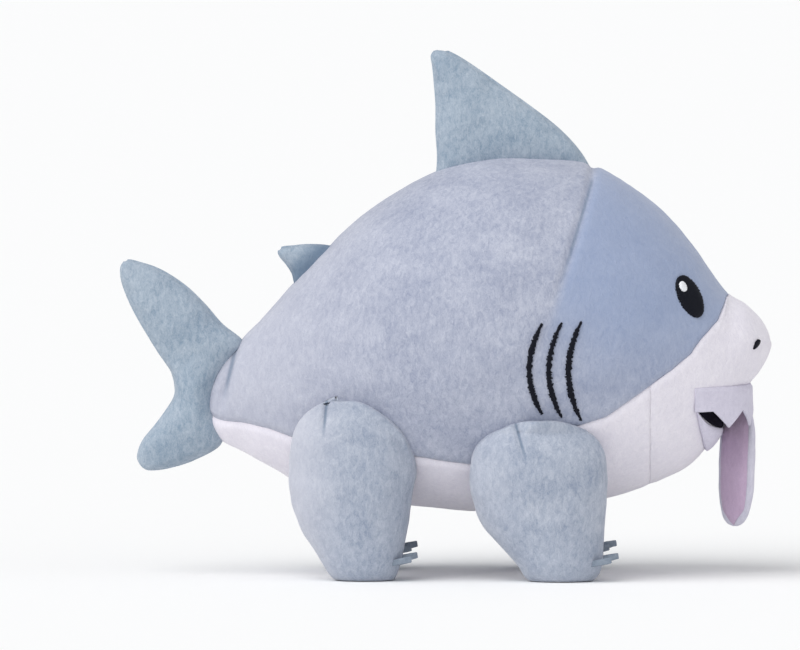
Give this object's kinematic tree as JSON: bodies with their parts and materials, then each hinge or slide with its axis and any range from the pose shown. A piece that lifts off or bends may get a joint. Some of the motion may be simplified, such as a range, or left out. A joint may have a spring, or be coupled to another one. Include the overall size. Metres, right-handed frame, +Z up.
{
  "type": "plush shark",
  "caption": "Soft stuffed shark that stands on plump stitched legs, with an open toothed mouth, hanging tongue, embroidered eyes and gills, padded fins and a tail fin.",
  "frame": {"origin": "centre of the bounding box on the floor under the feet", "axes": "+X towards the nose, +Y to the toy's left, +Z up"},
  "size_m": [0.3, 0.1392, 0.2418],
  "materials": {
    "blue_pile": "short brushed pile",
    "white_pile": "short brushed pile",
    "lip_felt": "pressed felt",
    "black_felt": "pressed felt",
    "lilac_pile": "short brushed pile",
    "pink_pile": "short brushed pile",
    "black_thread": "satin stitch",
    "white_thread": "satin stitch",
    "claw_felt": "pressed felt",
    "label_cloth": "woven ribbon",
    "fibre_fill": "loose polyester fibre"
  },
  "bodies": {
    "torso": {"body_stuffing": "fibre_fill", "back_panel_left": "blue_pile", "back_panel_right": "blue_pile", "belly_panel": "white_pile", "muzzle_panel_left": "white_pile", "muzzle_panel_right": "white_pile", "upper_lip": "lip_felt", "lower_lip": "lip_felt", "mouth_lining": "black_felt", "eye_left": "black_thread", "eye_right": "black_thread", "eye_glint_left": "white_thread", "eye_glint_right": "white_thread", "nostril_left": "black_thread", "nostril_right": "black_thread", "gills_left": "black_thread", "gills_right": "black_thread", "care_label": "label_cloth"},
    "tongue": {"tongue_front": "lilac_pile", "tongue_back": "pink_pile"},
    "dorsal_fin": {"dorsal_fin_left": "blue_pile", "dorsal_fin_right": "blue_pile", "dorsal_fin_stuffing": "fibre_fill"},
    "rear_fin": {"rear_fin_left": "blue_pile", "rear_fin_right": "blue_pile", "rear_fin_stuffing": "fibre_fill"},
    "tail": {"tail_left": "blue_pile", "tail_right": "blue_pile", "tail_stuffing": "fibre_fill"},
    "front_left_leg": {"front_left_leg_outer": "blue_pile", "front_left_leg_inner": "blue_pile", "front_left_leg_stuffing": "fibre_fill", "front_left_claws": "claw_felt"},
    "front_right_leg": {"front_right_leg_outer": "blue_pile", "front_right_leg_inner": "blue_pile", "front_right_leg_stuffing": "fibre_fill", "front_right_claws": "claw_felt"},
    "hind_left_leg": {"hind_left_leg_outer": "blue_pile", "hind_left_leg_inner": "blue_pile", "hind_left_leg_stuffing": "fibre_fill", "hind_left_claws": "claw_felt"},
    "hind_right_leg": {"hind_right_leg_outer": "blue_pile", "hind_right_leg_inner": "blue_pile", "hind_right_leg_stuffing": "fibre_fill", "hind_right_claws": "claw_felt"}
  },
  "joints": [
    {"name": "tongue_swing", "type": "hinge", "parent": "torso", "child": "tongue", "pos_m": [0.13529, 0, 0.07237], "axis": [0.7431, -0.6691, 0], "range_deg": [-8, 25]},
    {"name": "dorsal_fin_sway", "type": "hinge", "parent": "torso", "child": "dorsal_fin", "pos_m": [0.031, 0, 0.19292], "axis": [1, 0, 0], "range_deg": [-15, 15], "stiffness_Nm_per_rad": 0.05},
    {"name": "rear_fin_sway", "type": "hinge", "parent": "torso", "child": "rear_fin", "pos_m": [-0.06357, 0, 0.14368], "axis": [0.6878, 0, 0.7259], "range_deg": [-15, 15], "stiffness_Nm_per_rad": 0.01},
    {"name": "tail_wag", "type": "hinge", "parent": "torso", "child": "tail", "pos_m": [-0.104, 0, 0.08], "axis": [0, 0, 1], "range_deg": [-20, 20], "stiffness_Nm_per_rad": 0.05},
    {"name": "front_left_leg_swing", "type": "hinge", "parent": "torso", "child": "front_left_leg", "pos_m": [0.04262, 0.048, 0.05032], "axis": [0, 1, 0], "range_deg": [-12, 12], "stiffness_Nm_per_rad": 0.4},
    {"name": "front_right_leg_swing", "type": "hinge", "parent": "torso", "child": "front_right_leg", "pos_m": [0.04262, -0.048, 0.05032], "axis": [0, 1, 0], "range_deg": [-12, 12], "stiffness_Nm_per_rad": 0.4},
    {"name": "hind_left_leg_swing", "type": "hinge", "parent": "torso", "child": "hind_left_leg", "pos_m": [-0.04292, 0.042, 0.05478], "axis": [0, 1, 0], "range_deg": [-12, 12], "stiffness_Nm_per_rad": 0.4},
    {"name": "hind_right_leg_swing", "type": "hinge", "parent": "torso", "child": "hind_right_leg", "pos_m": [-0.04292, -0.042, 0.05478], "axis": [0, 1, 0], "range_deg": [-12, 12], "stiffness_Nm_per_rad": 0.4}
  ]
}
